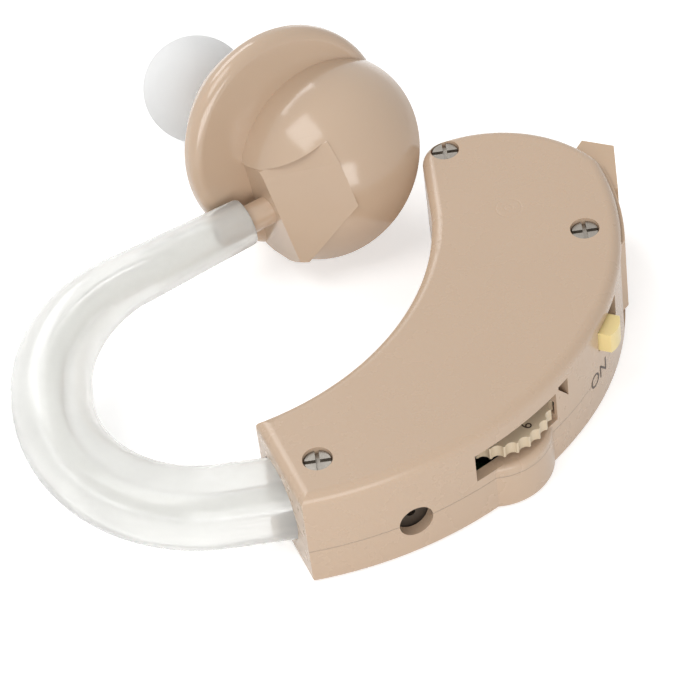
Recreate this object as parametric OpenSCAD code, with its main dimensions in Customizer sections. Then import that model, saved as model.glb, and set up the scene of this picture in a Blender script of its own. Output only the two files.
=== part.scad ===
// Behind-the-ear hearing aid with a clear ear hook and an in-ear piece.
// The case lies on its side. X runs from the narrow end to the spine, Y to the battery end, Z up.
// The origin is on the rest face, under the middle of the case.

/* [Case] */
// Thickness of the closed case
case_t = 10; // [9.8:0.1:11]
// Height of the seam between the two shells
seam_z = 3.8; // [3.7:0.05:4]
// Wall thickness of both shells
wall = 1; // [0.9:0.05:1.1]
// Edge rounding on the outer side
edge_r = 1; // [0.6:0.05:1.1]
// Edge rounding on the rest side
rest_edge_r = 0.5; // [0.3:0.05:0.8]
// Radius of the long arc of the spine
spine_r = 33.2; // [33:0.1:33.8]
// Radius of the spine's shoulder, beside the battery
shoulder_r = 26.1; // [25.9:0.1:26.4]
// Radius of the hollow side that sits behind the ear
hollow_r = 23.7; // [23.4:0.1:23.9]
// Radius of the battery end
end_r = 11.6; // [11.5:0.1:11.9]
// Rounding of the battery end's corner on the hollow side
heel_corner_r = 2.6; // [2.4:0.1:2.9]

/* [Case screws] */
// Diameter of the recess over each screw
recess_d = 2.5; // [2.3:0.1:2.6]
// Diameter of the screw heads
screw_head_d = 2.2; // [2:0.1:2.2]
// Height of the screw heads
screw_head_t = 0.7; // [0.5:0.1:0.9]
// Diameter of the screw shanks
screw_d = 1.2; // [1:0.05:1.2]

/* [Battery] */
// Diameter of the button cell
cell_d = 11.6; // [11.2:0.1:11.6]
// Height of the button cell
cell_t = 5.4; // [4.8:0.1:5.4]
// Wall of the tray round the cell
tray_wall = 0.5; // [0.4:0.05:0.5]
// Thickness of the door's outer skin
door_skin = 1; // [0.8:0.05:1.1]
// How far the door stands out from the case wall
door_proud = 0.3; // [0.1:0.05:0.4]
// Reach of the finger tab from the corner's centre
tab_reach = 7.9; // [7:0.1:8.2]
// Diameter of the hinge pin
pin_d = 0.8; // [0.7:0.05:0.9]

/* [Volume wheel] */
// Diameter of the volume wheel
wheel_d = 10.4; // [10:0.1:10.6]
// Thickness of the wheel
wheel_t = 1.2; // [1:0.1:1.4]
// Number of finger notches round the rim
wheel_teeth = 28; // [24:1:32]
// Depth of the notches
tooth_depth = 0.3; // [0.2:0.05:0.4]

/* [Switch] */
// Travel of the switch knob
switch_travel = 2; // [1.5:0.1:2.2]
// Length of the knob along its travel
knob_l = 2.4; // [2:0.1:2.6]
// Height of the knob
knob_h = 2; // [1.8:0.1:2.2]
// How far the knob stands out of the case
knob_out = 1.3; // [1:0.1:1.6]

/* [Microphone] */
// Diameter of the microphone hole
mic_hole_d = 3; // [2.6:0.1:3.2]
// Diameter of the microphone capsule
mic_d = 4; // [3.8:0.1:4.1]
// Length of the capsule
mic_l = 1.6; // [1.4:0.1:1.8]

/* [Ear hook] */
// Outer diameter of the hook tube
tube_d = 7; // [6.6:0.1:7.2]
// Diameter of the sound bore
tube_bore_d = 1.8; // [1.6:0.1:2.2]
// Outer diameter where the bend ends
tube_neck_d = 5; // [4.8:0.1:5.4]
// Outer diameter where the hook holds the earpiece
tube_tip_d = 4.3; // [4.1:0.1:4.6]
// Straight length outside the case, before the bend
hook_root = 4.6; // [4:0.1:6]
// Radius of the first part of the bend
bend_root_r = 13.5; // [13:0.1:14.5]
// Radius of the last part of the bend
bend_tip_r = 12.5; // [12:0.1:13]
// Angle of the last part of the bend
bend_tip_turn = 65; // [62:1:68]
// Length of the tapered end
hook_taper = 11.9; // [11:0.1:13]
// How much the hook's plane rises from the case
hook_tilt = 4.4; // [3:0.1:5]

/* [Earpiece] */
// Diameter of the earpiece
ear_d = 19.9; // [19.2:0.1:19.9]
// Thickness of the front cover's rim
ear_rim_t = 2.1; // [1.9:0.1:2.1]
// Radius of the ball that bounds the front cover
ball_r = 10; // [9.9:0.02:10.1]
// Radius of the dome's raised edge on the face
dome_r = 9.3; // [9.2:0.02:9.4]
// Depth of the rounded back
ear_back_t = 4.6; // [4.4:0.1:4.8]
// Diameter of the sound nozzle
nozzle_d = 2.6; // [2.4:0.1:2.8]
// Diameter of the stem that carries the ear tip
stem_d = 4; // [3.8:0.1:4.2]
// Diameter of the silicone ear tip
tip_d = 9.9; // [9.5:0.1:10]
// Lean of the earpiece
ear_lean = 18; // [16:0.5:19]

/* [Hidden] */
$fn = 48;
// One overrun for every cut
over = 1;
// Running clearance, for a part that turns or slides in another
run_gap = 0.05;
// Clearance of a part that is pressed or clamped in
fit_gap = 0.02;
// Open clearance between neighbours that don't touch
gap = 0.15;

// Exact directions of the places where two arcs of the plan run into each other
blend_way = [0.8, -0.6];
heel_way = [-0.28, 0.96];
blend_dir = atan2(blend_way.y, blend_way.x);
spine_turn = 120;
// Direction of the narrow end's face
face_dir = 197;

// Centres of the plan's arcs
spine_c = [-19.5, 16.4];
shoulder_c = spine_c + (spine_r - shoulder_r) * blend_way;
hollow_c = [-27.2, 15.6];
// A point on the narrow end's face
face_c = [-18.7, -12.9];
heel_x = hollow_c.x + hollow_r;
end_c = [heel_x + heel_corner_r - (end_r - heel_corner_r) * heel_way.x, 12.2];
heel_corner_c = end_c + (end_r - heel_corner_r) * heel_way;

function azimuth(v) = atan2(v.y, v.x);
function dir(a) = [cos(a), sin(a)];

reach = spine_r + end_r;
roof_z = case_t - wall;

// Screw places: battery end, spine, narrow end
screw_at = [[-1.4, 21.8], [9.1, 9.6], [-15.8, -12.4]];
boss_r = 1.4;
recess_depth = 1;
cross_w = 0.35;
cross_depth = 0.35;
screw_tip_z = 1.3;

// Battery compartment and door
pin_c = [10.7, 6.8];
knuckle_r = 0.95;
pin_seat = 0.5;
door_gap = 0.1;
cell_c = [4.3, 16];
cell_z = 2.3;
cell_gap = 0.1;
cap_r = 4.7;
cap_t = 0.5;
cell_edge_r = 0.3;
door_reach = norm(cell_c - pin_c) + cell_d / 2 + cell_gap + tray_wall;
door_from = 48;
door_to = 130;
ledge_to = 117;
ledge_w = 1.6;
web_to = 72;
tray_h = 4.6;
tray_open_w = 5.4;
contact_dir = 215;
tab_dir = 33.9;
tab_c = [6.7, 16.4];
tab_top_dir = 155;
tab_side_dir = -95;
tab_top_l = 2.9;
tab_side_l = 5.5;
tab_z = 3.5;
tab_h = 5.1;
strip_t = 0.25;
strip_w = 2;
strip_h = 3.2;
bead_r = 0.45;
foot_l = 1.2;
leaf_dir = 62.4;
leaf_l = 7.6;
leaf_t = 0.2;
leaf_rise = 0.45;

// Tube socket at the narrow end
tube_y = -11;
tube_z = 4.4;
socket_depth = 1.8;
tube_face_x = -19.3;
socket_x = tube_face_x + socket_depth;
collar_r = 4.3;
collar_end_x = -17;

// Seam lip
lip_t = 0.45;
lip_h = 0.7;
lip_end_y = 5;

// Wheel, its window and the guard under it
wheel_c = [-1.3, -5.6];
wheel_z = 5.3;
hub_r = 1.5;
hub_h = 0.4;
axle_r = 0.7;
wheel_land = 0.15;
pot_r = 3.4;
pot_t = 2.1;
pot_lug_l = 1.4;
pot_lug_t = 0.3;
window_from = -60.7;
window_to = -44.6;
window_top = 7.8;
guard_c = [-1.3, -6.6];
guard_r = 5;
guard_h = 4.8;
trim_dir = -42.8;
trim_w = 1.3;
trim_z = 7.9;
trim_drop = 1.7;
trim_h = 0.3;

// Microphone
mic_dir = -70.8;
mic_z = 3.75;
boot_wall = 0.5;
mic_set = 0.12;
port_r = 0.4;
port_depth = 0.5;

// Switch
switch_dir = -26.3;
switch_z = 7.4;
tongue_l = 1;
tongue_h = 1;
switch_body_l = 5.6;
switch_body_w = 1.8;
switch_body_h = 2.6;
switch_leg_w = 0.5;
switch_leg_pitch = 2;

// Board and what sits on it
board_z = 2;
board_t = 0.8;
board_in = 0.3;
board_y = 8.6;
board_tongue_x = 1.5;
board_tongue_y = 12.6;
board_end_x = -13.6;
post_r = 0.8;
post_at = [[-11.2, -6.4], [4.4, -2.6], [-0.9, 7.4], [6.6, 4.6]];
chip_c = [2.6, 3.2];
chip_l = 3.2;
chip_t = 0.9;
chip_turn = 20;
cap_at = [[-1.2, 2.2], [-0.2, 4.6], [6.2, 1.2]];
cap_turn = -60;
cap_l = 1.6;
cap_w = 0.8;
cap_h = 0.7;

// Receiver, in its sleeve, and the spout into the tube
receiver_turn = 30;
receiver_l = 6;
receiver_w = 3.6;
receiver_h = 2.4;
sleeve_t = 0.4;
spout_r = 0.7;
spout_bore_r = 0.35;
spout_bend_x = -14;
spout_bend_r = 3;
spout_in = 1;

// Ear hook
bend_mid_l = 1;
wide_bore_d = nozzle_d + 2 * run_gap;
wide_bore_l = 9.5;
nozzle_in = 3;
sweep_rings = 12;
sweep_sides = 32;
hook_mid_u = tube_face_x - hook_root - bend_root_r;
bend_tip_c = [hook_mid_u + bend_tip_r, bend_root_r + bend_mid_l];
hook_heading = 90 - bend_tip_turn;
hook_neck = bend_tip_c + bend_tip_r * dir(180 - bend_tip_turn);
hook_end = hook_neck + hook_taper * dir(hook_heading);

// Earpiece, in its own frame: X along the nozzle, Y up the face, Z out of the face
ear_in = 7.1;
ear_up = 3.95;
ear_back = 2.5;
ear_yaw = 5;
ear_r = ear_d / 2;
ear_edge_r = 1;
ear_back_edge_r = 0.7;
ear_lip_r = 9.2;
ear_lip_t = 0.6;
ball_c = [0.1, -0.35, 2];
dome_c = [3, -3.8, 0];
boss_left = -5.1;
boss_reach = 5.2;
boss_foot_y = -3.6;
boss_foot_turn = 45;
boss_wall_y = 0.3;
boss_wall_turn = 19.3;
ramp_at = [0.1, 0.4, 7.95];
ramp_tilt = [-0.68, 0.21, 0.7];
chamfer_tilt = [-0.645, 0.428, 0.634];
ear_wall = 1.2;
ear_register_t = 0.5;
ear_cup_z = 1;
ear_cup_r = 9.8;
stem_y = -1;
stem_end = 16.2;
stem_bore_r = 0.9;
stem_collar_r = 2.5;
stem_collar_t = 0.5;
channel_r = 0.8;
channel_z = 3;
tip_back = 17.2;
tip_core_r = 2.9;
tip_skin = 0.7;
tip_mouth = 12.8;

// A wedge of the plan from a centre, between two directions less than 180 degrees apart
module wedge(c, a1, a2) {
    polygon([c, c + reach * dir(a1), c + reach * dir((a1 + a2) / 2), c + reach * dir(a2)]);
}

// The part of the plan that the heel corner takes up
module heel_wedge() {
    wedge(heel_corner_c, azimuth(heel_way), 180);
}

// Plan of the case, with every wall moved in by one distance
module case_plan(in = 0) {
    difference() {
        union() {
            difference() {
                intersection() {
                    union() {
                        difference() {
                            translate(shoulder_c) circle(shoulder_r - in);
                            wedge(shoulder_c, blend_dir - spine_turn, blend_dir);
                        }
                        intersection() {
                            translate(spine_c) circle(spine_r - in);
                            wedge(shoulder_c, blend_dir - spine_turn, blend_dir);
                        }
                    }
                    union() {
                        translate(end_c) circle(end_r - in);
                        translate([-reach, -reach]) square([2 * reach, reach + end_c.y]);
                    }
                }
                heel_wedge();
            }
            intersection() {
                translate(heel_corner_c) circle(heel_corner_r - in);
                heel_wedge();
            }
        }
        translate(hollow_c) circle(hollow_r + in);
        translate([heel_x + in - reach, hollow_c.y]) square([reach, heel_corner_c.y - hollow_c.y]);
        translate(face_c - in * dir(face_dir)) rotate(face_dir) translate([0, -reach]) square([reach, 2 * reach]);
    }
}

// A disc with both edges rounded
module puck(c, r) {
    translate(c) rotate_extrude() {
        square([r - edge_r, case_t]);
        translate([0, rest_edge_r]) square([r, case_t - rest_edge_r - edge_r]);
        square([r - rest_edge_r, rest_edge_r]);
        intersection() {
            union() {
                translate([r - edge_r, case_t - edge_r]) circle(edge_r);
                translate([r - rest_edge_r, rest_edge_r]) circle(rest_edge_r);
            }
            square([r, case_t]);
        }
    }
}

// Section of a cutter that leaves both edges rounded; the wall it leaves is at the distance given
module cutter_section(r) {
    translate([0, -over]) square([r, case_t + 2 * over]);
    difference() {
        translate([r - over, case_t - edge_r]) square([over + edge_r, edge_r + over]);
        translate([r + edge_r, case_t - edge_r]) circle(edge_r);
    }
    difference() {
        translate([r - over, -over]) square([over + rest_edge_r, rest_edge_r + over]);
        translate([r + rest_edge_r, rest_edge_r]) circle(rest_edge_r);
    }
}

// A straight cutter: it takes off what lies beyond the line through a point, seen from the case
module wall_cutter(c, a, len) {
    translate([c.x, c.y, 0]) rotate([0, 0, a]) rotate([90, 0, 0])
        translate([0, 0, -len / 2]) linear_extrude(len) translate([reach, 0]) mirror([1, 0])
            cutter_section(reach);
}

module slab(z1, z2) {
    translate([-2 * reach, -2 * reach, z1]) cube([4 * reach, 4 * reach, z2 - z1]);
}

// Makes a plan reach past both sides of the case
module tall() {
    translate([0, 0, -over]) linear_extrude(case_t + 2 * over) children();
}

// The closed case, solid, with its rounded edges
module case_body() {
    difference() {
        union() {
            difference() {
                intersection() {
                    union() {
                        difference() {
                            puck(shoulder_c, shoulder_r);
                            tall() wedge(shoulder_c, blend_dir - spine_turn, blend_dir);
                        }
                        intersection() {
                            puck(spine_c, spine_r);
                            tall() wedge(shoulder_c, blend_dir - spine_turn, blend_dir);
                        }
                    }
                    union() {
                        puck(end_c, end_r);
                        tall() translate([-reach, -reach]) square([2 * reach, reach + end_c.y]);
                    }
                }
                tall() heel_wedge();
            }
            intersection() {
                puck(heel_corner_c, heel_corner_r);
                tall() heel_wedge();
            }
        }
        translate(hollow_c) rotate_extrude() cutter_section(hollow_r);
        translate([0, (heel_corner_c.y + hollow_c.y) / 2, 0])
            wall_cutter([heel_x, 0], 180, heel_corner_c.y - hollow_c.y);
        wall_cutter(face_c, face_dir, reach);
    }
}

// The swell of the wall under the wheel's window
module wheel_guard() {
    translate(guard_c) rotate_extrude() {
        square([guard_r - rest_edge_r, guard_h]);
        translate([0, rest_edge_r]) square([guard_r, guard_h - 2 * rest_edge_r]);
        translate([guard_r - rest_edge_r, rest_edge_r]) circle(rest_edge_r);
        translate([guard_r - rest_edge_r, guard_h - rest_edge_r]) circle(rest_edge_r);
    }
}

// What both shells have inside: screw bosses and the tube's collar
module case_inside() {
    intersection() {
        union() {
            for (p = screw_at) translate(p) cylinder(r = boss_r, h = case_t);
            translate([-reach, tube_y, tube_z]) rotate([0, 90, 0])
                cylinder(r = collar_r, h = reach + collar_end_x);
        }
        linear_extrude(case_t) case_plan(wall / 2);
        slab(wall / 2, case_t - wall / 2);
    }
}

// Opening for the battery door, and the hinge pocket
module door_opening() {
    translate([0, 0, wall]) linear_extrude(roof_z - wall) {
        intersection() {
            translate(pin_c) circle(door_reach + gap);
            union() {
                wedge(pin_c, 0, 90);
                wedge(pin_c, 90, door_to);
            }
            difference() {
                square([2 * reach, 2 * reach], center = true);
                translate(screw_at[1]) circle(boss_r);
            }
        }
        translate(pin_c) circle(knuckle_r + 2 * door_gap);
    }
}

// A block across the wall of the spine, between two directions
module spine_block(a1, a2, z1, z2) {
    translate([0, 0, z1]) linear_extrude(z2 - z1) difference() {
        wedge(spine_c, a1, a2);
        translate(spine_c) circle(spine_r - 2 * wall);
    }
}

// Frame of the switch: X out of the wall, Y along the travel
module switch_frame() {
    translate([shoulder_c.x, shoulder_c.y, switch_z]) rotate([0, 0, switch_dir])
        translate([shoulder_r, 0, 0]) children();
}

// Frame of the microphone: Z out of the wall, from the inner face
module mic_frame() {
    translate([spine_c.x, spine_c.y, mic_z]) rotate([0, 0, mic_dir])
        translate([spine_r - wall, 0, 0]) rotate([0, 90, 0]) children();
}

module case_openings() {
    translate([-reach, tube_y, tube_z]) rotate([0, 90, 0]) {
        cylinder(d = tube_d + 2 * run_gap, h = reach + socket_x);
        cylinder(r = spout_r + door_gap, h = reach + screw_at[2].x + 2 * boss_r);
    }
    mic_frame() translate([0, 0, -over]) cylinder(d = mic_hole_d, h = wall + 2 * over);
    spine_block(window_from, window_to, guard_h, window_top);
    translate([wheel_c.x, wheel_c.y, wheel_z - gap]) cylinder(r = wheel_d / 2 + gap, h = wheel_t + 2 * gap);
    translate([spine_c.x, spine_c.y, trim_z]) rotate([0, 0, trim_dir]) translate([spine_r - 2 * wall, 0, 0])
        rotate([90, 0, 90]) linear_extrude(3 * wall)
            polygon([[-trim_w / 2, 0], [trim_w / 2, -trim_drop], [trim_w / 2, trim_h], [-trim_w / 2, trim_h]]);
    switch_frame() translate([-2 * wall, -(knob_l + switch_travel) / 2 - gap, -knob_h / 2 - gap])
        cube([2 * wall + over, knob_l + switch_travel + 2 * gap, knob_h + 2 * gap]);
    door_opening();
    translate([pin_c.x, pin_c.y, pin_seat]) cylinder(d = pin_d + 2 * fit_gap, h = case_t - 2 * pin_seat);
    for (p = screw_at) translate(p) {
        translate([0, 0, case_t - recess_depth]) cylinder(d = recess_d, h = recess_depth + over);
        translate([0, 0, screw_tip_z - gap]) cylinder(d = screw_d + 2 * fit_gap, h = case_t);
    }
}

module shells() {
    difference() {
        union() {
            difference() {
                union() {
                    case_body();
                    wheel_guard();
                }
                translate([0, 0, wall]) linear_extrude(roof_z - wall) case_plan(wall);
            }
            case_inside();
        }
        case_openings();
    }
}

// The lip that keeps the shells in line, grown by a clearance for its groove
module seam_lip(g = 0) {
    difference() {
        translate([0, 0, seam_z]) linear_extrude(lip_h + g) intersection() {
            difference() {
                case_plan(wall - lip_t - g);
                case_plan(wall + g);
            }
            translate([collar_end_x + over - g, -reach]) square([reach, reach + lip_end_y + g]);
        }
        if (g == 0) case_openings();
    }
}

module case_upper() {
    color("#cbb298") difference() {
        intersection() {
            shells();
            slab(seam_z, case_t + over);
        }
        seam_lip(run_gap);
    }
}

module case_lower() {
    color("#cbb298") {
        intersection() {
            shells();
            slab(-over, seam_z);
        }
        seam_lip();
        for (p = post_at) translate([p.x, p.y, wall / 2]) cylinder(r = post_r, h = board_z - wall / 2);
    }
}

module case_screws() {
    color("#c4c6c8") for (p = screw_at) translate([p.x, p.y, case_t - recess_depth]) difference() {
        union() {
            cylinder(d = screw_head_d, h = screw_head_t);
            translate([0, 0, screw_tip_z - case_t + recess_depth])
                cylinder(d = screw_d, h = case_t - recess_depth - screw_tip_z);
        }
        for (a = [0, 90]) rotate([0, 0, a]) translate([0, 0, screw_head_t])
            cube([screw_head_d, cross_w, 2 * cross_depth], center = true);
    }
}

// Plan of the door's outer skin and its hinge knuckle
module door_plan() {
    intersection() {
        difference() {
            case_plan(-door_proud);
            case_plan(door_skin - door_proud);
        }
        translate(pin_c) circle(door_reach - gap);
        wedge(pin_c, door_from, door_to);
    }
    translate(pin_c) circle(knuckle_r);
}

// Web between the tray and the skin
module door_web() {
    intersection() {
        case_plan(door_skin / 2 - door_proud);
        wedge(cell_c, 0, web_to);
    }
}

// The battery door: outer skin, hinge knuckle, tray round the cell and finger tab
module battery_door() {
    z0 = wall + door_gap;
    z1 = roof_z - door_gap;
    seat_z = cell_z + cap_t;
    tray_r = cell_d / 2 + cell_gap + tray_wall;
    tab_corner = tab_c + tab_reach * dir(tab_dir);
    color("#c6ac91") difference() {
        union() {
            translate([0, 0, z0]) linear_extrude(seat_z - z0) difference() {
                union() {
                    door_plan();
                    intersection() {
                        union() {
                            translate(cell_c) circle(tray_r);
                            door_web();
                        }
                        wedge(pin_c, door_from, ledge_to);
                    }
                }
                translate(cell_c) circle(tray_r - ledge_w);
            }
            translate([0, 0, seat_z]) linear_extrude(tray_h - cap_t) difference() {
                union() {
                    door_plan();
                    translate(cell_c) circle(tray_r);
                    door_web();
                }
                translate(cell_c) circle(cell_d / 2 + cell_gap);
                translate(cell_c) rotate(contact_dir) translate([0, -tray_open_w / 2])
                    square([tray_r + over, tray_open_w]);
            }
            translate([0, 0, cell_z + tray_h]) linear_extrude(z1 - cell_z - tray_h) door_plan();
            translate([0, 0, tab_z]) linear_extrude(tab_h) difference() {
                polygon([tab_corner, tab_corner + tab_top_l * dir(tab_top_dir), tab_c,
                    tab_corner + tab_side_l * dir(tab_side_dir)]);
                translate(cell_c) circle(cell_d / 2 + cell_gap);
            }
        }
        translate(pin_c) cylinder(d = pin_d + 2 * run_gap, h = case_t);
    }
}

module door_hinge_pin() {
    color("#b9bbbd") translate([pin_c.x, pin_c.y, pin_seat]) cylinder(d = pin_d, h = case_t - 2 * pin_seat);
}

// Cell with its cap down, against the leaf contact
module button_cell() {
    color("#c9cbcd") translate([cell_c.x, cell_c.y, cell_z]) {
        rotate_extrude() {
            translate([0, cap_t]) square([cell_d / 2 - cell_edge_r, cell_t - cap_t]);
            translate([0, cap_t + cell_edge_r]) square([cell_d / 2, cell_t - cap_t - 2 * cell_edge_r]);
            translate([cell_d / 2 - cell_edge_r, cap_t + cell_edge_r]) circle(cell_edge_r);
            translate([cell_d / 2 - cell_edge_r, cell_t - cell_edge_r]) circle(cell_edge_r);
            square([cap_r, cell_t]);
        }
    }
}

// Spring strip that presses on the side of the cell
module battery_contact_positive() {
    z0 = board_z + board_t;
    r = cell_d / 2 + run_gap;
    color("#c9a45a") translate([cell_c.x, cell_c.y, z0]) rotate([0, 0, contact_dir]) {
        translate([r + bead_r, 0, strip_h / 2]) cylinder(r = bead_r, h = strip_h / 2);
        translate([r + 2 * bead_r - strip_t / 2, -strip_w / 2, 0]) cube([strip_t, strip_w, strip_h]);
        translate([r + 2 * bead_r - strip_t / 2, 0, 0]) cube([foot_l, strip_w / 2, strip_t]);
    }
}

// Leaf under the cell, held between the board and the floor
module battery_contact_negative() {
    color("#c9a45a") translate([cell_c.x, cell_c.y, cell_z]) {
        translate([0, 0, -leaf_rise]) cylinder(r = strip_w / 2, h = leaf_rise);
        translate([0, 0, board_z - leaf_t - cell_z]) rotate([0, 0, leaf_dir])
            translate([-leaf_l, -strip_w / 2, 0]) cube([leaf_l, strip_w, leaf_t]);
    }
}

module board_plan() {
    difference() {
        intersection() {
            case_plan(wall + board_in);
            union() {
                translate([board_end_x, -reach]) square([reach, reach + board_y]);
                translate([board_end_x, 0]) square([board_tongue_x - board_end_x, board_tongue_y]);
            }
        }
        translate(cell_c) circle(cell_d / 2 + cell_gap + tray_wall + 2 * gap);
        translate(screw_at[1]) circle(boss_r + gap);
        translate(screw_at[2]) circle(boss_r + gap);
        translate(pin_c) circle(knuckle_r + door_gap + gap);
        translate(spine_c) rotate(mic_dir) translate([spine_r - wall, 0])
            square([2 * (mic_l + boot_wall + gap), mic_d + 2 * boot_wall + 2 * gap], center = true);
    }
}

module circuit_board() {
    color("#3c6b4a") translate([0, 0, board_z]) linear_extrude(board_t) board_plan();
}

module amplifier_chip() {
    color("#26282b") translate([chip_c.x, chip_c.y, board_z + board_t]) rotate([0, 0, chip_turn])
        translate([-chip_l / 2, -chip_l / 2, 0]) cube([chip_l, chip_l, chip_t]);
}

module capacitors() {
    color("#b7956b") for (p = cap_at) translate([p.x, p.y, board_z + board_t]) rotate([0, 0, cap_turn])
        translate([-cap_l / 2, -cap_w / 2, 0]) cube([cap_l, cap_w, cap_h]);
}

module microphone() {
    color("#c8cacc") mic_frame() translate([0, 0, -mic_l - mic_set]) difference() {
        cylinder(d = mic_d, h = mic_l);
        translate([0, 0, mic_l - port_depth]) cylinder(r = port_r, h = port_depth + over);
    }
}

module microphone_boot() {
    color("#2b2b2d") mic_frame() translate([0, 0, -mic_l - boot_wall - mic_set]) intersection() {
        difference() {
            cylinder(d = mic_d + 2 * boot_wall, h = mic_l + boot_wall);
            translate([0, 0, boot_wall - fit_gap]) cylinder(d = mic_d + 2 * fit_gap, h = mic_l + over);
        }
        translate([-mic_d, -mic_d, 0]) cube([2 * mic_d, 2 * mic_d, mic_l + boot_wall]);
    }
}

// Frame of the receiver: X along it, from its spout end
module receiver_frame() {
    translate([spout_bend_x, tube_y + spout_bend_r, tube_z]) rotate([0, 0, receiver_turn])
        translate([0, -spout_bend_r, 0]) children();
}

module receiver() {
    color("#c8cacc") receiver_frame() translate([0, -receiver_w / 2, -receiver_h / 2])
        cube([receiver_l, receiver_w, receiver_h]);
}

module receiver_cushion() {
    color("#2b2b2d") receiver_frame() difference() {
        translate([over, -receiver_w / 2 - sleeve_t, -receiver_h / 2 - sleeve_t])
            cube([receiver_l - over + sleeve_t, receiver_w + 2 * sleeve_t, receiver_h + 2 * sleeve_t]);
        translate([0, -receiver_w / 2, -receiver_h / 2]) cube([receiver_l, receiver_w, receiver_h]);
    }
}

// Metal spout from the receiver into the end of the tube's bore
module spout_solid(r, extra) {
    x0 = socket_x - spout_in - extra;
    translate([x0, tube_y, tube_z]) rotate([0, 90, 0]) cylinder(r = r, h = spout_bend_x - x0);
    translate([spout_bend_x, tube_y + spout_bend_r, tube_z]) rotate([0, 0, -90])
        rotate_extrude(angle = receiver_turn) translate([spout_bend_r, 0]) circle(r);
}

module sound_spout() {
    color("#d3d5d7") difference() {
        spout_solid(spout_r, 0);
        spout_solid(spout_bore_r, over);
    }
}

module volume_wheel() {
    r = wheel_d / 2;
    color("#d8c8ae") translate([wheel_c.x, wheel_c.y, wheel_z]) difference() {
        union() {
            linear_extrude(wheel_t) difference() {
                circle(r);
                for (i = [0 : wheel_teeth - 1]) rotate(i * 360 / wheel_teeth)
                    translate([r + tooth_depth, 0]) circle(2 * tooth_depth);
            }
            translate([0, 0, -hub_h]) cylinder(r = hub_r, h = hub_h + over / 2);
        }
        translate([0, 0, -over]) cylinder(r = axle_r + fit_gap, h = wheel_t + 2 * over);
        translate([0, 0, wheel_t - hub_h]) cylinder(r = hub_r, h = hub_h + over);
    }
}

// Axle with a slotted head that clamps the wheel, turning in the control under it
module wheel_axle() {
    z0 = board_z + board_t + wheel_land;
    color("#c8cacc") translate([wheel_c.x, wheel_c.y, 0]) difference() {
        union() {
            translate([0, 0, z0]) cylinder(r = axle_r, h = wheel_z + wheel_t - hub_h - z0);
            translate([0, 0, wheel_z + wheel_t - hub_h]) cylinder(r = hub_r - gap, h = hub_h);
        }
        translate([0, 0, wheel_z + wheel_t]) cube([2 * hub_r, cross_w, cross_depth], center = true);
    }
}

module volume_pot() {
    color("#3a3f45") translate([wheel_c.x, wheel_c.y, board_z + board_t]) difference() {
        union() {
            cylinder(r = pot_r, h = pot_t - wheel_land);
            for (a = [60, 90, 120]) rotate([0, 0, a]) translate([pot_r - over / 2, -cross_w, 0])
                cube([pot_lug_l, 2 * cross_w, pot_lug_t]);
        }
        translate([0, 0, wheel_land]) cylinder(r = axle_r + run_gap, h = pot_t);
    }
}

// Sliding switch on three legs, with a channel for the knob's tongue
module switch_body() {
    z0 = board_z + board_t - switch_z;
    color("#34373b") switch_frame() translate([-wall - gap - switch_body_w, 0, 0]) difference() {
        union() {
            translate([0, -switch_body_l / 2, -switch_body_h / 2])
                cube([switch_body_w, switch_body_l, switch_body_h]);
            for (y = [-switch_leg_pitch, 0, switch_leg_pitch])
                translate([switch_body_w / 2 - switch_leg_w / 2, y - switch_leg_w / 2, z0])
                    cube([switch_leg_w, switch_leg_w, -z0]);
        }
        translate([switch_body_w / 2, -(tongue_l + switch_travel) / 2 - run_gap, -tongue_h / 2 - run_gap])
            cube([switch_body_w, tongue_l + switch_travel + 2 * run_gap, tongue_h + 2 * run_gap]);
    }
}

// Knob at its lower stop, the photographed place
module switch_knob() {
    color("#d9c67e") switch_frame() translate([0, -switch_travel / 2, 0]) {
        translate([-wall, -knob_l / 2, -knob_h / 2]) cube([wall + knob_out / 2, knob_l, knob_h]);
        intersection() {
            translate([-wall, -knob_l / 2, -knob_h / 2]) cube([wall + knob_out, knob_l, knob_h]);
            translate([knob_out - knob_l, 0, -knob_h]) cylinder(r = knob_l, h = 2 * knob_h);
        }
        translate([-wall - gap - switch_body_w / 2 + run_gap, -tongue_l / 2, -tongue_h / 2])
            cube([switch_body_w / 2 + wall, tongue_l, tongue_h]);
    }
}

// Frame of the hook's plane: X along the socket, Y up the hook
module hook_frame() {
    translate([0, tube_y, tube_z]) rotate([hook_tilt, 0, 0]) children();
}

function sweep_d(t) = tube_d - 2 * run_gap - (tube_d - tube_neck_d) * pow(t, 1.5);

// Last part of the bend, getting thinner on the way
module taper_bend(rings, sides) {
    points = [for (i = [0 : rings]) for (j = [0 : sides - 1])
        let (t = i / rings, a = 180 - bend_tip_turn * t, q = j * 360 / sides, r = sweep_d(t) / 2)
        [bend_tip_c.x + (bend_tip_r + r * cos(q)) * cos(a),
            bend_tip_c.y + (bend_tip_r + r * cos(q)) * sin(a), r * sin(q)]];
    faces = concat(
        [[for (j = [0 : sides - 1]) j]],
        [[for (j = [0 : sides - 1]) rings * sides + sides - 1 - j]],
        [for (i = [0 : rings - 1]) for (j = [0 : sides - 1]) let (k = (j + 1) % sides)
            [i * sides + j, (i + 1) * sides + j, (i + 1) * sides + k]],
        [for (i = [0 : rings - 1]) for (j = [0 : sides - 1]) let (k = (j + 1) % sides)
            [i * sides + j, (i + 1) * sides + k, i * sides + k]]);
    polyhedron(points, faces);
}

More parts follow.
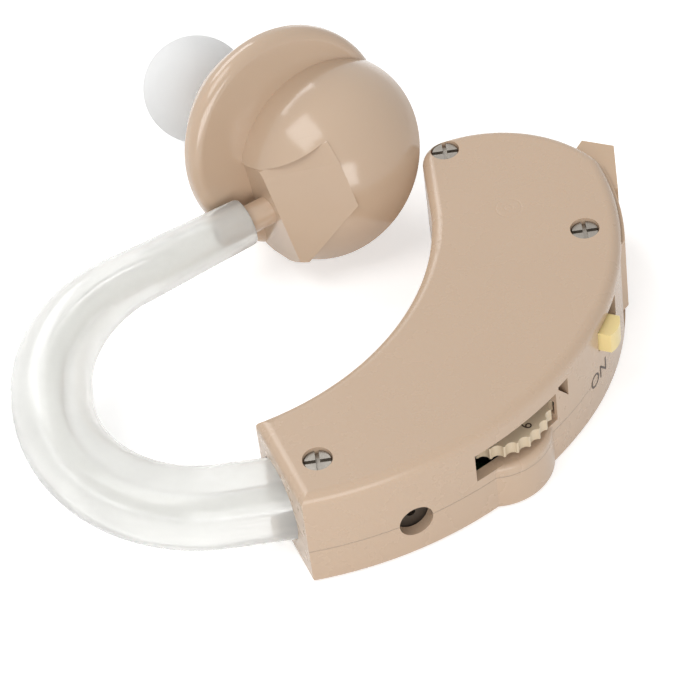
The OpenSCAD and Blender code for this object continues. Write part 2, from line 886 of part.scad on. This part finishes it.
module ear_hook_tube() {
    mid_u = tube_face_x - hook_root;
    color("#e3e0d6") hook_frame() difference() {
        union() {
            translate([mid_u, 0, 0]) rotate([0, 90, 0]) cylinder(d = tube_d, h = socket_x - mid_u);
            translate([mid_u, bend_root_r, 0]) rotate([0, 0, 180])
                rotate_extrude(angle = 90) translate([bend_root_r, 0]) circle(d = tube_d);
            translate([hook_mid_u, bend_root_r, 0]) rotate([-90, 0, 0]) cylinder(d = tube_d, h = bend_mid_l);
            taper_bend(sweep_rings, sweep_sides);
            translate([hook_neck.x, hook_neck.y, 0]) rotate([0, 90, hook_heading])
                cylinder(d1 = tube_neck_d, d2 = tube_tip_d, h = hook_taper);
        }
        translate([mid_u, 0, 0]) rotate([0, 90, 0]) cylinder(d = tube_bore_d, h = socket_x - mid_u + over);
        translate([mid_u, bend_root_r, 0]) rotate([0, 0, 180])
            rotate_extrude(angle = 90) translate([bend_root_r, 0]) circle(d = tube_bore_d);
        translate([hook_mid_u, bend_root_r, 0]) rotate([-90, 0, 0]) cylinder(d = tube_bore_d, h = bend_mid_l);
        translate([bend_tip_c.x, bend_tip_c.y, 0]) rotate([0, 0, 180 - bend_tip_turn])
            rotate_extrude(angle = bend_tip_turn) translate([bend_tip_r, 0]) circle(d = tube_bore_d);
        translate([hook_neck.x, hook_neck.y, 0]) rotate([0, 90, hook_heading])
            cylinder(d = tube_bore_d, h = hook_taper + over);
        translate([hook_end.x, hook_end.y, 0]) rotate([0, 90, hook_heading])
            translate([0, 0, -wide_bore_l]) cylinder(d = wide_bore_d, h = wide_bore_l + over);
    }
}

// Frame of the earpiece's nozzle, at the end of the tube, and of its face
module nozzle_frame() {
    hook_frame() translate([hook_end.x, hook_end.y, 0]) rotate([0, 0, hook_heading])
        rotate([90 - ear_lean, 0, 0]) children();
}

module ear_frame() {
    nozzle_frame() translate([ear_in, ear_up, -ear_back]) rotate([0, ear_yaw, 0]) children();
}

module nozzle_solid(d, x1, x2) {
    nozzle_frame() translate([x1, 0, 0]) rotate([0, 90, 0]) cylinder(d = d, h = x2 - x1);
}

// Turns its children so that up becomes the direction given
module lean(tilt) {
    rotate([0, 0, azimuth(tilt)]) rotate([0, acos(tilt.z / norm(tilt)), 0]) children();
}

// Plan of the block on the face that carries the nozzle, grown by a distance
module boss_plan(g = 0) {
    intersection() {
        translate([boss_left - g, -ear_d]) square([boss_reach + 2 * g, 2 * ear_d]);
        translate([boss_left, boss_wall_y + g]) rotate(boss_wall_turn)
            translate([-ear_d, -2 * ear_d]) square([3 * ear_d, 2 * ear_d]);
        translate([boss_left + boss_reach, boss_foot_y - g]) rotate(boss_foot_turn)
            translate([-2 * ear_d, 0]) square([3 * ear_d, 2 * ear_d]);
    }
}

// What lies over the block's ramp and its chamfer
module over_ramp() {
    for (t = [ramp_tilt, chamfer_tilt]) translate(ramp_at) lean(t)
        translate([-2 * ear_d, -2 * ear_d, 0]) cube([4 * ear_d, 4 * ear_d, ear_d]);
}

// Room in the rim for the tube's end, which the earpiece turns about
module tube_relief() {
    nozzle_frame() translate([-hook_taper, 0, 0]) rotate([0, 90, 0])
        cylinder(d1 = tube_neck_d + 2 * gap, d2 = tube_tip_d + 2 * gap, h = hook_taper + gap);
}

module earpiece_front() {
    color("#cbb298") difference() {
        union() {
            difference() {
                ear_frame() {
                    translate([0, 0, -ear_rim_t]) rotate_extrude() {
                        square([ear_r - ear_edge_r, ear_rim_t]);
                        translate([0, ear_back_edge_r]) square([ear_r, ear_rim_t - ear_edge_r - ear_back_edge_r]);
                        translate([ear_r - ear_edge_r, ear_rim_t - ear_edge_r]) circle(ear_edge_r);
                        translate([ear_r - ear_back_edge_r, ear_back_edge_r]) circle(ear_back_edge_r);
                    }
                    difference() {
                        intersection() {
                            translate(ball_c) lean(dome_c - ball_c) sphere(ball_r);
                            translate([-ear_d, -ear_d, -over / 2]) cube([2 * ear_d, 2 * ear_d, ear_d]);
                            union() {
                                difference() {
                                    translate(dome_c) lean([ball_c.y - dome_c.y, dome_c.x - ball_c.x, 0]) sphere(dome_r);
                                    translate([boss_left + over / 2 - ear_d, boss_wall_y + run_gap - 2 * ear_d, -ear_d])
                                        cube([ear_d, 2 * ear_d, 2 * ear_d]);
                                }
                                translate([0, 0, -over / 2]) linear_extrude(ear_d) boss_plan();
                            }
                        }
                        intersection() {
                            translate([0, 0, -over]) linear_extrude(2 * ear_d) boss_plan(run_gap);
                            over_ramp();
                        }
                    }
                }
                tube_relief();
            }
            nozzle_solid(nozzle_d, -nozzle_in, ear_in);
        }
        ear_frame() {
            translate([0, 0, -ear_rim_t - over])
                cylinder(r = ear_r - ear_wall, h = over + ear_register_t);
            translate([0, 0, -ear_rim_t - over])
                cylinder(r = ear_r - 2 * ear_wall, h = over + ear_rim_t - ear_wall);
        }
        nozzle_solid(2 * channel_r, -nozzle_in - over, ear_in);
        ear_frame() translate([0, -ear_up, -ear_rim_t]) cylinder(r = channel_r, h = ear_rim_t + channel_z);
    }
}

module earpiece_back() {
    z1 = -ear_rim_t;
    z2 = z1 - ear_lip_t;
    color("#cbb298") ear_frame() difference() {
        union() {
            translate([0, 0, z1]) cylinder(r = ear_r - ear_wall - run_gap, h = ear_register_t - run_gap);
            translate([0, 0, z2]) cylinder(r = ear_lip_r, h = ear_lip_t);
            intersection() {
                translate([0, 0, ear_cup_z]) sphere(ear_cup_r);
                translate([0, 0, z2 - ear_back_t]) cylinder(r = ear_r, h = ear_back_t);
            }
            translate([0, stem_y, -stem_end]) cylinder(d = stem_d, h = stem_end + z2);
            translate([0, stem_y, -tip_mouth + fit_gap]) cylinder(r = stem_collar_r, h = stem_collar_t);
        }
        intersection() {
            translate([0, 0, ear_cup_z]) sphere(ear_cup_r - ear_wall);
            translate([0, 0, z2 - ear_back_t]) cylinder(r = ear_r - 2 * ear_wall, h = ear_d);
        }
        translate([0, stem_y, -stem_end - over]) cylinder(r = stem_bore_r, h = stem_end + over);
    }
}

// Soft tip pushed over the stem: a ball with a skirt that folds back
module ear_tip() {
    r = tip_d / 2;
    color("#e9e7e2") ear_frame() translate([0, stem_y, 0]) difference() {
        intersection() {
            translate([0, 0, -tip_back]) sphere(r);
            translate([0, 0, -tip_back - r]) cylinder(r = r, h = r + tip_back - tip_mouth);
        }
        difference() {
            translate([0, 0, -tip_back]) sphere(r - tip_skin);
            translate([0, 0, -tip_back - r]) cylinder(r = tip_core_r, h = 2 * r);
            translate([0, 0, -tip_back - r]) cylinder(r = r, h = r);
        }
        translate([0, 0, -stem_end - gap]) cylinder(d = stem_d + 2 * fit_gap, h = stem_end);
        translate([0, 0, -tip_back - r - over]) cylinder(r = stem_bore_r, h = tip_back + r);
    }
}

case_upper();
case_lower();
case_screws();
battery_door();
door_hinge_pin();
button_cell();
battery_contact_positive();
battery_contact_negative();
circuit_board();
amplifier_chip();
capacitors();
microphone();
microphone_boot();
receiver();
receiver_cushion();
sound_spout();
volume_wheel();
wheel_axle();
volume_pot();
switch_body();
switch_knob();
ear_hook_tube();
earpiece_front();
earpiece_back();
ear_tip();
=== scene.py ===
import math
import bmesh
import bpy
from mathutils import Matrix, Vector


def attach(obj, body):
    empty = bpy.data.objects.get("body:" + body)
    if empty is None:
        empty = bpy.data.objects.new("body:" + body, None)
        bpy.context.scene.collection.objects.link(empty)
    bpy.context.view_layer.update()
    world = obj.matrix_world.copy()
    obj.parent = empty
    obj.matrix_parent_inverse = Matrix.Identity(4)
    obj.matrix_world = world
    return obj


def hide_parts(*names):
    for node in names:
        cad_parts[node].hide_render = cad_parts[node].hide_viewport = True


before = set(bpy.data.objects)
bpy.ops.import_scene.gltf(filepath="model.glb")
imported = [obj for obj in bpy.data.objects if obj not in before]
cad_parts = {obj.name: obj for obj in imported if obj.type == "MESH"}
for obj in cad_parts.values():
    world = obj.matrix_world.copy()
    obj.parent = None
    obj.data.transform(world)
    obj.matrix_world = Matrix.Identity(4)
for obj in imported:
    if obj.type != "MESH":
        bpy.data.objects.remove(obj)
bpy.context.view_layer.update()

scene = bpy.context.scene
MM = 0.001

# Camera at the photograph's angle: its right, its up and its line of sight
RIGHT = Vector((0.99027, -0.09926, -0.09755))
UP = Vector((0.13917, 0.70631, 0.69409))
SIGHT = Vector((0.0, 0.70091, -0.71325))
AIM = Vector((-12.0, 9.0, 0.0)) * MM
DISTANCE = 0.29437
cam_data = bpy.data.cameras.new("camera")
cam_data.lens, cam_data.sensor_width = 174.857, 36.0
cam_data.clip_start, cam_data.clip_end = 0.01, 20.0
cam = bpy.data.objects.new("camera", cam_data)
scene.collection.objects.link(cam)
spot = AIM - SIGHT * DISTANCE
cam.matrix_world = Matrix(((RIGHT.x, UP.x, -SIGHT.x, spot.x), (RIGHT.y, UP.y, -SIGHT.y, spot.y),
                           (RIGHT.z, UP.z, -SIGHT.z, spot.z), (0, 0, 0, 1)))
scene.camera = cam
scene.view_settings.view_transform = "Standard"


def linear(c):
    """sRGB 0-255 to the linear colour that the shaders take."""
    out = []
    for v in c:
        v /= 255.0
        out.append(v / 12.92 if v <= 0.04045 else ((v + 0.055) / 1.055) ** 2.4)
    return (*out, 1.0)


def dimmed(c, factor):
    """A linear colour, darker or lighter by a factor, never over one."""
    return tuple(min(1, v * factor) for v in c[:3]) + (1.0,)


class Tree:
    """Short way to build a node tree."""

    def __init__(self, name):
        self.mat = bpy.data.materials.new(name)
        self.mat.use_nodes = True
        self.t = self.mat.node_tree
        self.bsdf = self.t.nodes["Principled BSDF"]
        self.out = self.t.nodes["Material Output"]
        self.coord = self.t.nodes.new("ShaderNodeTexCoord").outputs["Object"]

    def node(self, kind, **sets):
        n = self.t.nodes.new("ShaderNode" + kind)
        for k, v in sets.items():
            setattr(n, k, v)
        return n

    def link(self, a, b):
        self.t.links.new(a, b)

    def noise(self, scale, detail=3.0, rough=0.5, stretch=None):
        n = self.node("TexNoise")
        n.inputs["Scale"].default_value = scale
        n.inputs["Detail"].default_value = detail
        n.inputs["Roughness"].default_value = rough
        if stretch:
            m = self.node("Mapping")
            m.inputs["Scale"].default_value = stretch
            self.link(self.coord, m.inputs["Vector"])
            self.link(m.outputs["Vector"], n.inputs["Vector"])
        else:
            self.link(self.coord, n.inputs["Vector"])
        return n.outputs["Fac"]

    def ramp(self, fac, a, b, lo=0.0, hi=1.0):
        n = self.node("MapRange")
        self.link(fac, n.inputs["Value"])
        for k, v in zip(("From Min", "From Max", "To Min", "To Max"), (a, b, lo, hi)):
            n.inputs[k].default_value = v
        return n.outputs["Result"]

    def math(self, op, a, b=None):
        n = self.node("Math", operation=op)
        for i, v in enumerate((a, b)):
            if v is None:
                continue
            if isinstance(v, (int, float)):
                n.inputs[i].default_value = v
            else:
                self.link(v, n.inputs[i])
        return n.outputs[0]

    def mix(self, fac, a, b):
        n = self.node("Mix", data_type="RGBA")
        for s, v in ((0, fac), (6, a), (7, b)):
            if isinstance(v, (int, float, tuple)):
                n.inputs[s].default_value = v
            else:
                self.link(v, n.inputs[s])
        return n.outputs[2]

    def bump(self, height, strength, distance):
        n = self.node("Bump")
        n.inputs["Strength"].default_value = strength
        n.inputs["Distance"].default_value = distance
        self.link(height, n.inputs["Height"])
        return n

    def band(self, value, centre, half, soft):
        """One where the value is within half of the centre, falling off softly."""
        d = self.math("ABSOLUTE", self.math("SUBTRACT", value, centre))
        return self.ramp(d, half + soft, half)


def plastic(name, colour, rough=0.28, grain=0.00002, seams=(), marks=(), var=0.008, coat=0.0):
    """Moulded plastic: slight flow in the colour, fine grain, rubbed spots and scratches.

    seams are heights of fine lines round the piece, and marks are rings left by the mould, all in mm.
    """
    t = Tree(name)
    base = linear(colour)
    flow = t.ramp(t.noise(60.0, 2.0, 0.5), 0.3, 0.7)
    col = t.mix(flow, dimmed(base, 1 - var), dimmed(base, 1 + var))
    speck = t.ramp(t.noise(2600.0, 2.0, 0.6), 0.70, 0.80)
    col = t.mix(t.math("MULTIPLY", speck, 0.10), col, dimmed(base, 0.7))
    rub = t.ramp(t.noise(300.0, 4.0, 0.55), 0.35, 0.8)
    height = t.math("ADD", t.math("MULTIPLY", t.noise(1900.0, 3.0, 0.6), 0.5),
                    t.math("MULTIPLY", t.noise(140.0, 1.0, 0.4), 0.6))
    scratch = t.ramp(t.noise(900.0, 1.0, 0.4, (0.15, 3.0, 1.0)), 0.735, 0.76)
    height = t.math("SUBTRACT", height, t.math("MULTIPLY", scratch, 0.5))
    xyz = t.node("SeparateXYZ")
    t.link(t.coord, xyz.inputs["Vector"])
    for z in seams:
        line = t.band(xyz.outputs["Z"], z * MM, 0.00002, 0.00005)
        col = t.mix(t.math("MULTIPLY", line, 0.45), col, dimmed(base, 0.45))
        height = t.math("SUBTRACT", height, t.math("MULTIPLY", line, 6.0))
    for x, y, r in marks:
        d = t.node("VectorMath", operation="DISTANCE")
        flat = t.node("CombineXYZ")
        t.link(xyz.outputs["X"], flat.inputs["X"])
        t.link(xyz.outputs["Y"], flat.inputs["Y"])
        t.link(flat.outputs["Vector"], d.inputs[0])
        d.inputs[1].default_value = (x * MM, y * MM, 0)
        ring = t.band(d.outputs["Value"], r * MM, 0.00003, 0.00008)
        height = t.math("SUBTRACT", height, t.math("MULTIPLY", ring, 1.2))
    t.link(col, t.bsdf.inputs["Base Color"])
    t.link(t.ramp(rub, 0, 1, rough - 0.01, rough + 0.03), t.bsdf.inputs["Roughness"])
    t.link(t.bump(height, 0.35, grain).outputs["Normal"], t.bsdf.inputs["Normal"])
    t.bsdf.inputs["IOR"].default_value = 1.49
    t.bsdf.inputs["Coat Weight"].default_value = coat
    t.bsdf.inputs["Coat Roughness"].default_value = 0.12
    t.bsdf.inputs["Subsurface Weight"].default_value = 0.06
    t.bsdf.inputs["Subsurface Radius"].default_value = (0.0012, 0.0007, 0.0004)
    t.bsdf.inputs["Subsurface Scale"].default_value = 1.0
    return t.mat


def metal(name, colour, rough, stretch=None, tarnish=0.25):
    """Bare metal with dull patches and a fine grain, drawn out where stretch says so."""
    t = Tree(name)
    base = linear(colour)
    fac = t.ramp(t.noise(700.0, 4.0, 0.6, stretch), 0.35, 0.7)
    t.link(t.mix(fac, base, dimmed(base, 1 - tarnish)), t.bsdf.inputs["Base Color"])
    t.link(t.ramp(fac, 0, 1, rough, rough + 0.18), t.bsdf.inputs["Roughness"])
    grain = t.bump(t.noise(3500.0, 2.0, 0.6, stretch), 0.3, 0.00002)
    t.link(grain.outputs["Normal"], t.bsdf.inputs["Normal"])
    t.bsdf.inputs["Metallic"].default_value = 1.0
    return t.mat


def milky(name, colour, transmission, rough, scatter, ior=1.45, cloud=0.05):
    """Clear or frosted soft plastic, with faint clouds, dust and a soft skin."""
    t = Tree(name)
    base = linear(colour)
    fac = t.ramp(t.noise(260.0, 4.0, 0.6), 0.35, 0.7)
    t.link(t.mix(fac, base, dimmed(base, 1 - cloud)), t.bsdf.inputs["Base Color"])
    t.link(t.ramp(t.noise(500.0, 4.0, 0.6), 0.3, 0.7, rough - 0.06, rough + 0.1), t.bsdf.inputs["Roughness"])
    t.link(t.bump(t.noise(800.0, 3.0, 0.5), 0.25, 0.00004).outputs["Normal"], t.bsdf.inputs["Normal"])
    t.bsdf.inputs["Transmission Weight"].default_value = transmission
    t.bsdf.inputs["IOR"].default_value = ior
    t.bsdf.inputs["Subsurface Weight"].default_value = scatter
    t.bsdf.inputs["Subsurface Radius"].default_value = (0.003, 0.003, 0.003)
    t.bsdf.inputs["Subsurface Scale"].default_value = 1.0
    return t.mat


BEIGE = (195, 170, 146)
BRASS = (206, 170, 100)
RUBBER = (38, 38, 40)
SEAM_Z = 3.8
MOULD_MARKS = ((3.1, 13.4, 1.1), (3.1, 13.4, 0.35))  # x, y, radius
mats = {
    "case_upper": plastic("shell_beige_upper", BEIGE, 0.27, seams=(SEAM_Z,), marks=MOULD_MARKS),
    "case_lower": plastic("shell_beige_lower", BEIGE, 0.27, seams=(SEAM_Z,)),
    "battery_door": plastic("door_beige", (196, 169, 142), 0.30),
    "earpiece_front": plastic("ear_beige", BEIGE, 0.16, coat=0.3),
    "earpiece_back": plastic("ear_back_beige", BEIGE, 0.18, coat=0.25),
    "volume_wheel": plastic("wheel_beige", (208, 190, 163), 0.34),
    "switch_knob": plastic("knob_yellow", (234, 212, 150), 0.3, var=0.04),
    "case_screws": metal("screw_steel", (158, 152, 144), 0.3),
    "door_hinge_pin": metal("pin_steel", (190, 191, 193), 0.28, (1, 1, 0.1)),
    "button_cell": metal("cell_metal", (205, 206, 208), 0.24),
    "battery_contact_positive": metal("contact_brass_a", BRASS, 0.25),
    "battery_contact_negative": metal("contact_brass_b", BRASS, 0.25),
    "microphone": metal("mic_capsule", (92, 84, 76), 0.5),
    "receiver": metal("receiver_can", (204, 205, 207), 0.26),
    "sound_spout": metal("spout_steel", (210, 211, 213), 0.2),
    "wheel_axle": metal("axle_steel", (200, 201, 203), 0.25),
    "circuit_board": plastic("board_green", (48, 98, 66), 0.35, var=0.2),
    "amplifier_chip": plastic("chip_black", (34, 35, 38), 0.5, var=0.15),
    "capacitors": plastic("capacitor_tan", (178, 146, 104), 0.4, var=0.12),
    "microphone_boot": plastic("boot_rubber", RUBBER, 0.6, grain=0.00004, var=0.2),
    "receiver_cushion": plastic("cushion_rubber", RUBBER, 0.6, grain=0.00004, var=0.2),
    "volume_pot": plastic("pot_dark", (52, 56, 62), 0.45, var=0.15),
    "switch_body": plastic("switch_dark", (46, 49, 54), 0.45, var=0.15),
    "ear_tip": milky("tip_silicone", (254, 254, 253), 0.2, 0.6, 0.4, 1.41, 0.02),
}
for name, m in mats.items():
    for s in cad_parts[name].material_slots:
        s.material = m


def piece(name, bm, mat, body, smooth=True):
    """An object made of a bmesh, with one material, riding on a body."""
    me = bpy.data.meshes.new(name)
    bmesh.ops.recalc_face_normals(bm, faces=bm.faces)
    bm.to_mesh(me)
    bm.free()
    for p in me.polygons:
        p.use_smooth = smooth
    if smooth:
        me.set_sharp_from_angle(angle=math.radians(35))
    me.materials.append(mat)
    o = bpy.data.objects.new(name, me)
    scene.collection.objects.link(o)
    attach(o, body)
    return o


# Ear hook: the same route and sections as the solid, swept smooth. All lengths in mm
TILT = math.radians(4.4)
SOCKET_X, FACE_X, SOCKET_Y, SOCKET_Z = -17.5, -19.3, -11.0, 4.4
ROOT, ROOT_R, MID, TIP_R = 4.6, 13.5, 1.0, 12.5
TURN, TAPER = 65.0, 11.9
HALF = math.radians(TURN)
TUBE_D, NECK_LESS, TIP_LESS = 7.0, 2.0, 0.7
BORE_R, WIDE_R = 0.9, 1.35
ROOT_STEPS, BEND_STEPS, TIP_STEPS, TAPER_STEPS, WIDE_STEPS = 8, 40, 36, 24, 20
SIDES = 64


def on_plane(u, v, w=0.0):
    """A place in the hook's tilted plane, and off it by w."""
    return Vector((u, SOCKET_Y + v * math.cos(TILT) - w * math.sin(TILT),
                   SOCKET_Z + v * math.sin(TILT) + w * math.cos(TILT))) * MM


route = []  # u, v, heading, outer diameter
for i in range(ROOT_STEPS + 1):
    route.append((SOCKET_X + (FACE_X - ROOT - SOCKET_X) * i / ROOT_STEPS, 0.0, math.pi, TUBE_D))
for i in range(1, BEND_STEPS + 1):
    a = math.pi / 2 * i / BEND_STEPS
    route.append((FACE_X - ROOT - ROOT_R * math.sin(a), ROOT_R - ROOT_R * math.cos(a), math.pi - a, TUBE_D))
mid_u = FACE_X - ROOT - ROOT_R
route.append((mid_u, ROOT_R + MID, math.pi / 2, TUBE_D))
cu, cv = mid_u + TIP_R, ROOT_R + MID
for i in range(1, TIP_STEPS + 1):
    t = i / TIP_STEPS
    a = math.pi - HALF * t
    route.append((cu + TIP_R * math.cos(a), cv + TIP_R * math.sin(a), math.pi / 2 - HALF * t,
                  TUBE_D - NECK_LESS * t ** 1.5))
nu, nv = cu + TIP_R * math.cos(math.pi - HALF), cv + TIP_R * math.sin(math.pi - HALF)
head = math.pi / 2 - HALF
for i in range(1, TAPER_STEPS + 1):
    t = i / TAPER_STEPS
    route.append((nu + TAPER * t * math.cos(head), nv + TAPER * t * math.sin(head), head,
                  TUBE_D - NECK_LESS - TIP_LESS * t))


def ring(bm, k, r, back=0.0):
    """A ring of points round the route, moved back along it by a distance."""
    u, v, h, _ = route[k]
    u, v = u - back * math.cos(h), v - back * math.sin(h)
    out = []
    for j in range(SIDES):
        q = 2 * math.pi * j / SIDES
        across = r * math.cos(q)
        at = on_plane(u - across * math.sin(h), v + across * math.cos(h), r * math.sin(q))
        out.append(bm.verts.new(at))
    return out


def outer_r(k):
    return route[k][3] / 2


def skin(bm, a, b):
    """Faces between two rings of the same number of points."""
    n = len(a)
    for j in range(n):
        bm.faces.new((a[j], a[(j + 1) % n], b[(j + 1) % n], b[j]))


bm = bmesh.new()
last = len(route) - 1
wide_end = last - WIDE_STEPS
# Outside, from the socket to the rounded end
loops = [ring(bm, 0, outer_r(0) - 0.15), ring(bm, 0, outer_r(0), back=-0.15)]
loops += [ring(bm, k, outer_r(k)) for k in range(1, last)]
loops += [ring(bm, last, outer_r(last), back=0.25), ring(bm, last, outer_r(last) - 0.08, back=0.07),
          ring(bm, last, outer_r(last) - 0.28)]
# Inside, back through the wide bore and the narrow one
loops += [ring(bm, last, WIDE_R + 0.12), ring(bm, last, WIDE_R, back=0.12)]
loops += [ring(bm, k, WIDE_R) for k in range(last - 1, wide_end, -1)]
loops += [ring(bm, wide_end, WIDE_R - 0.05), ring(bm, wide_end, BORE_R, back=0.05)]
loops += [ring(bm, k, BORE_R) for k in range(wide_end - 1, -1, -1)]
for a, b in zip(loops, loops[1:]):
    skin(bm, a, b)
skin(bm, loops[-1], loops[0])
tube_mat = milky("tube_clear", (244, 244, 241), 0.66, 0.12, 0.2, 1.46, 0.05)
tube = piece("hook_tube_smooth", bm, tube_mat, "hook")
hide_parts("ear_hook_tube")

# Flange where the stem stands on the earpiece's back, in the earpiece's own frame
EAR_AT = Vector((-14.48357, 25.78138, 10.22312)) * MM
EAR_LEAN, EAR_YAW, STEM_Y = 72.0, 5.0, -1.0
FLANGE = ((1.9, -7.2), (3.45, -7.2), (3.45, -7.45), (3.36, -7.58), (3.2, -7.64), (2.5, -7.68),
          (2.25, -7.82), (2.12, -8.1), (1.9, -8.15))  # radius, height
ear_frame = (Matrix.Translation(EAR_AT)
             @ Matrix.Rotation(TILT, 4, "X") @ Matrix.Rotation(math.radians(90.0 - TURN), 4, "Z")
             @ Matrix.Rotation(math.radians(EAR_LEAN), 4, "X")
             @ Matrix.Rotation(math.radians(EAR_YAW), 4, "Y"))


def flange_point(r, z, j):
    q = 2 * math.pi * j / SIDES
    return ear_frame @ (Vector((r * math.cos(q), STEM_Y + r * math.sin(q), z)) * MM)


bm = bmesh.new()
loops = [[bm.verts.new(flange_point(r, z, j)) for j in range(SIDES)] for r, z in FLANGE]
for a, b in zip(loops, loops[1:] + loops[:1]):
    skin(bm, a, b)
flange = piece("stem_flange", bm, mats["earpiece_back"], "earpiece")


INK_T = 0.006  # how far print stands off what it is on, and half its thickness


def words(name, entries, mat, body):
    """Thin printed characters: text, size, and a matrix for each."""
    bm = bmesh.new()
    for text, size, place in entries:
        cu = bpy.data.curves.new("tmp", "FONT")
        cu.body, cu.size, cu.extrude = text, size * MM, INK_T * MM
        cu.align_x, cu.align_y = "CENTER", "CENTER"
        cu.resolution_u = 3
        o = bpy.data.objects.new("tmp", cu)
        scene.collection.objects.link(o)
        me = bpy.data.meshes.new_from_object(o.evaluated_get(bpy.context.evaluated_depsgraph_get()))
        me.transform(place)
        bm.from_mesh(me)
        bpy.data.objects.remove(o)
        bpy.data.curves.remove(cu)
        bpy.data.meshes.remove(me)
    o = piece(name, bm, mat, body, smooth=False)
    return o


ink = plastic("ink_brown", (70, 56, 46), 0.5, var=0.25)
WHEEL = Vector((-1.3, -5.6, 6.506)) * MM
DIGITS, DIGIT_STEP, DIGIT_SIZE, DIGIT_R = 9, 40.0, 1.4, 4.15
SHOWN, SHOWN_AZ, DIGIT_TURN = 5, -49.3, 90 + 30
digits = []
for i in range(DIGITS):
    a = math.radians(SHOWN_AZ - DIGIT_STEP * (i - SHOWN))
    at = WHEEL + Vector((math.cos(a), math.sin(a), 0)) * DIGIT_R * MM
    digits.append((str(i + 1), DIGIT_SIZE,
                   Matrix.Translation(at) @ Matrix.Rotation(a + math.radians(DIGIT_TURN), 4, "Z")))
words("wheel_digits", digits, ink, "wheel")

SHOULDER, SHOULDER_R = Vector((-13.82, 12.14, 0)), 26.1
PRINT_SIZE, PRINT_Z = 2.0, 3.75


def on_wall(az, z):
    """Frame on the spine wall: X along the wall, Y up, Z out."""
    a = math.radians(az)
    out = Vector((math.cos(a), math.sin(a), 0))
    x = Vector((-math.sin(a), math.cos(a), 0))
    p = (SHOULDER + out * (SHOULDER_R + INK_T) + Vector((0, 0, z))) * MM
    return Matrix(((x.x, 0, out.x, p.x), (x.y, 0, out.y, p.y), (x.z, 1, out.z, p.z), (0, 0, 0, 1)))


on_print = [("O", PRINT_SIZE, on_wall(-33.6, PRINT_Z)), ("N", PRINT_SIZE, on_wall(-30.0, PRINT_Z))]
words("switch_print", on_print, ink, "case")

# Floor, world and lamps
FLOOR_HALF, FLOOR_DROP = 3.0, 0.00002
FLOOR_GREY, FLOOR_GLOW = 0.86, 0.5
WORLD_LIGHT, WORLD_SEEN = 0.42, 1.0
bm = bmesh.new()
bmesh.ops.create_grid(bm, x_segments=2, y_segments=2, size=FLOOR_HALF)
me = bpy.data.meshes.new("floor")
bm.to_mesh(me)
bm.free()
floor = bpy.data.objects.new("floor", me)
floor.location.z = -FLOOR_DROP
scene.collection.objects.link(floor)
t = Tree("floor_white")


def seen(tree):
    """One for the rays that should see the plain white: camera, glossy and transmission."""
    lp = tree.nodes.new("ShaderNodeLightPath")
    a = tree.nodes.new("ShaderNodeMath")
    a.operation = "MAXIMUM"
    b = tree.nodes.new("ShaderNodeMath")
    b.operation = "MAXIMUM"
    tree.links.new(lp.outputs["Is Camera Ray"], a.inputs[0])
    tree.links.new(lp.outputs["Is Glossy Ray"], a.inputs[1])
    tree.links.new(a.outputs[0], b.inputs[0])
    tree.links.new(lp.outputs["Is Transmission Ray"], b.inputs[1])
    return b.outputs[0]


dif = t.node("BsdfDiffuse")
dif.inputs["Color"].default_value = (FLOOR_GREY, FLOOR_GREY, FLOOR_GREY, 1)
emi = t.node("Emission")
emi.inputs["Strength"].default_value = FLOOR_GLOW
add = t.node("AddShader")
mix = t.node("MixShader")
t.link(dif.outputs[0], add.inputs[0])
t.link(emi.outputs[0], add.inputs[1])
t.link(seen(t.t), mix.inputs[0])
t.link(dif.outputs[0], mix.inputs[1])
t.link(add.outputs[0], mix.inputs[2])
t.link(mix.outputs[0], t.out.inputs["Surface"])
floor.data.materials.append(t.mat)

world = bpy.data.worlds.new("world")
scene.world = world
world.use_nodes = True
wt = world.node_tree
bg = wt.nodes["Background"]
bg.inputs["Color"].default_value = (1, 1, 1, 1)
level = wt.nodes.new("ShaderNodeMapRange")
level.inputs["To Min"].default_value = WORLD_LIGHT
level.inputs["To Max"].default_value = WORLD_SEEN
wt.links.new(seen(wt), level.inputs["Value"])
wt.links.new(level.outputs["Result"], bg.inputs["Strength"])
LAMP_AIM = Vector((-12.0, 9.0, 3.0)) * MM


def lamp(name, place, size, watts):
    """A soft area lamp that points at the middle of the object."""
    d = bpy.data.lights.new(name, "AREA")
    d.shape, d.size, d.size_y = "RECTANGLE", size[0], size[1]
    d.energy = watts
    o = bpy.data.objects.new(name, d)
    o.location = place
    o.rotation_euler = (LAMP_AIM - Vector(place)).to_track_quat("-Z", "Y").to_euler()
    scene.collection.objects.link(o)


lamp("key", (-0.25, -0.10, 0.55), (0.35, 0.30), 1.05)
lamp("fill", (0.02, -0.48, 0.20), (0.45, 0.25), 1.4)
lamp("back", (-0.26, 0.38, 0.38), (0.40, 0.25), 1.2)
